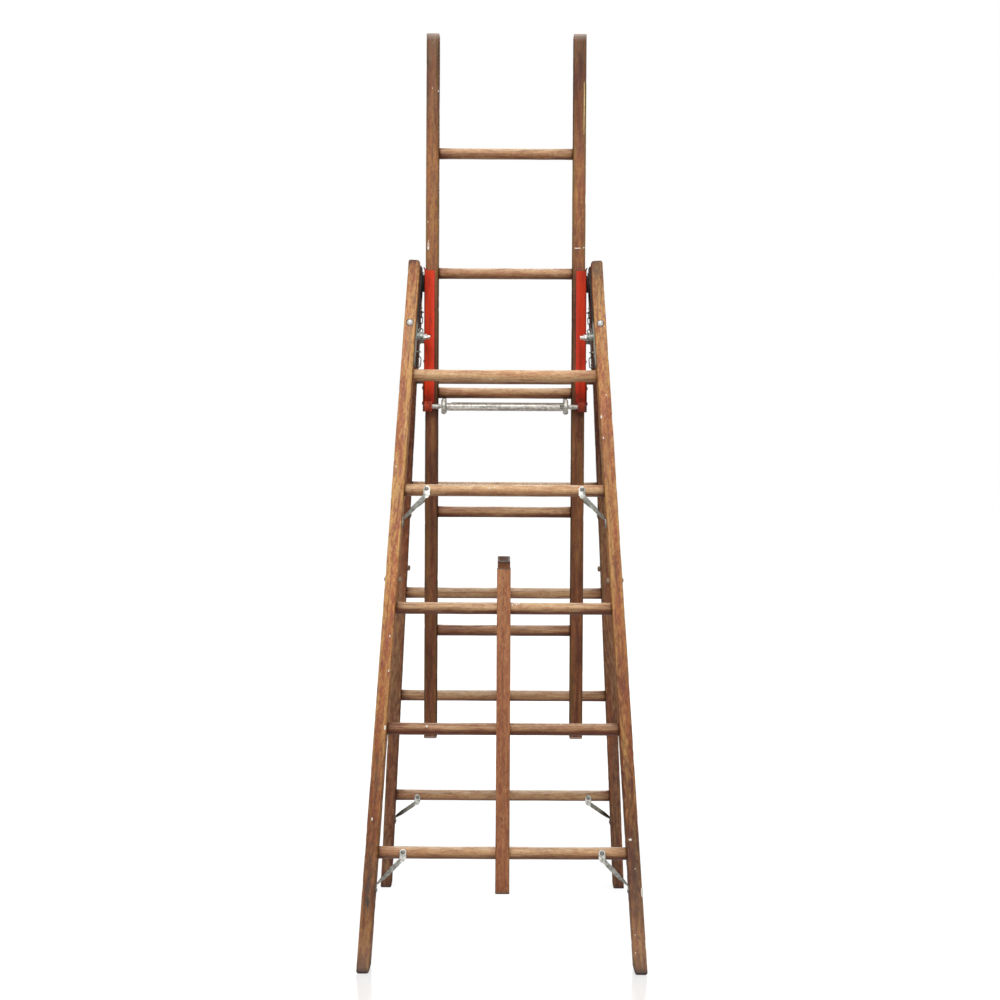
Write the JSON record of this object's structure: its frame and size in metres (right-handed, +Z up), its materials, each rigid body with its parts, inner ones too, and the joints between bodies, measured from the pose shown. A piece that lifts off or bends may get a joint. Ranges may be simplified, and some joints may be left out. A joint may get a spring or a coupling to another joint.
{
  "type": "extension trestle ladder",
  "caption": "Standing wooden ladder with two splayed rung sections hinged at the top and a straight section that slides up between them.",
  "frame": {"origin": "on the floor, in the middle between the four feet", "axes": "+Z up, -Y towards the front section, X across the ladder"},
  "size_m": [0.6824, 0.9348, 2.2806],
  "materials": {
    "base_rail_wood": "old varnished softwood, worn",
    "base_rung_wood": "worn bare hardwood",
    "black_iron": "black iron, dull",
    "dark_steel": "tarnished steel",
    "fly_rail_wood": "dark varnished softwood, worn",
    "fly_rung_wood": "worn bare hardwood",
    "galvanised_steel": "dull galvanised steel",
    "post_wood": "dark worn wood",
    "red_painted_steel": "chipped orange-red paint"
  },
  "bodies": {
    "front_section": {"front_rail_left": "base_rail_wood", "front_rail_right": "base_rail_wood", "front_rung_1": "base_rung_wood", "front_rung_2": "base_rung_wood", "front_rung_3": "base_rung_wood", "front_rung_4": "base_rung_wood", "front_rung_5": "base_rung_wood", "front_center_post": "post_wood", "front_hinge_left": "black_iron", "front_hinge_right": "black_iron", "front_lower_brace_left": "galvanised_steel", "front_lower_brace_right": "galvanised_steel", "front_upper_brace_left": "galvanised_steel", "front_upper_brace_right": "galvanised_steel", "front_brace_screws": "galvanised_steel", "front_hinge_screws": "black_iron", "front_head_bolts": "galvanised_steel", "front_side_bolts": "dark_steel", "front_stop_bolts": "galvanised_steel", "front_stop_spools": "galvanised_steel", "limit_chains": "dark_steel"},
    "rear_section": {"rear_rail_left": "base_rail_wood", "rear_rail_right": "base_rail_wood", "rear_rung_1": "base_rung_wood", "rear_rung_2": "base_rung_wood", "rear_rung_3": "base_rung_wood", "rear_rung_4": "base_rung_wood", "rear_rung_5": "base_rung_wood", "rear_center_post": "post_wood", "rear_hinge_left": "black_iron", "rear_hinge_right": "black_iron", "rear_lower_brace_left": "galvanised_steel", "rear_lower_brace_right": "galvanised_steel", "rear_upper_brace_left": "galvanised_steel", "rear_upper_brace_right": "galvanised_steel", "rear_brace_screws": "galvanised_steel", "rear_hinge_screws": "black_iron", "rear_head_bolts": "galvanised_steel", "rear_side_bolts": "dark_steel", "rear_stop_bolts": "galvanised_steel", "rear_stop_spools": "galvanised_steel"},
    "guide_set": {"guide_left": "red_painted_steel", "guide_right": "red_painted_steel", "lock_bracket_left": "red_painted_steel", "lock_bracket_right": "red_painted_steel", "bracket_rivets": "red_painted_steel", "pivot_pins": "dark_steel", "lock_pin_left": "galvanised_steel", "lock_pin_right": "galvanised_steel"},
    "rung_lock": {"lock_tube": "galvanised_steel", "lock_hook_left": "galvanised_steel", "lock_hook_right": "galvanised_steel"},
    "fly_section": {"fly_rail_left": "fly_rail_wood", "fly_rail_right": "fly_rail_wood", "fly_rung_1": "fly_rung_wood", "fly_rung_2": "fly_rung_wood", "fly_rung_3": "fly_rung_wood", "fly_rung_4": "fly_rung_wood", "fly_rung_5": "fly_rung_wood"}
  },
  "joints": [
    {"name": "rear_fold", "type": "hinge", "parent": "front_section", "child": "rear_section", "pos_m": [0, 0, 1.65], "axis": [-1, 0, 0], "range_deg": [0, 26]},
    {"name": "guide_tilt", "type": "hinge", "parent": "front_section", "child": "guide_set", "pos_m": [0, 0, 1.65], "axis": [-1, 0, 0], "range_deg": [0, 13]},
    {"name": "fly_slide", "type": "slide", "parent": "guide_set", "child": "fly_section", "axis": [0, 0, 1], "range_m": [0, 0.3048]},
    {"name": "lock_swing", "type": "hinge", "parent": "guide_set", "child": "rung_lock", "pos_m": [0, -0.046, 1.335], "axis": [1, 0, 0], "range_deg": [0, 45]}
  ],
  "couplings": [
    {"joint": "guide_tilt", "follows": "rear_fold", "ratio": 0.5},
    {"joint": "lock_swing", "follows": "fly_slide", "rad_per_m": 2.57}
  ]
}
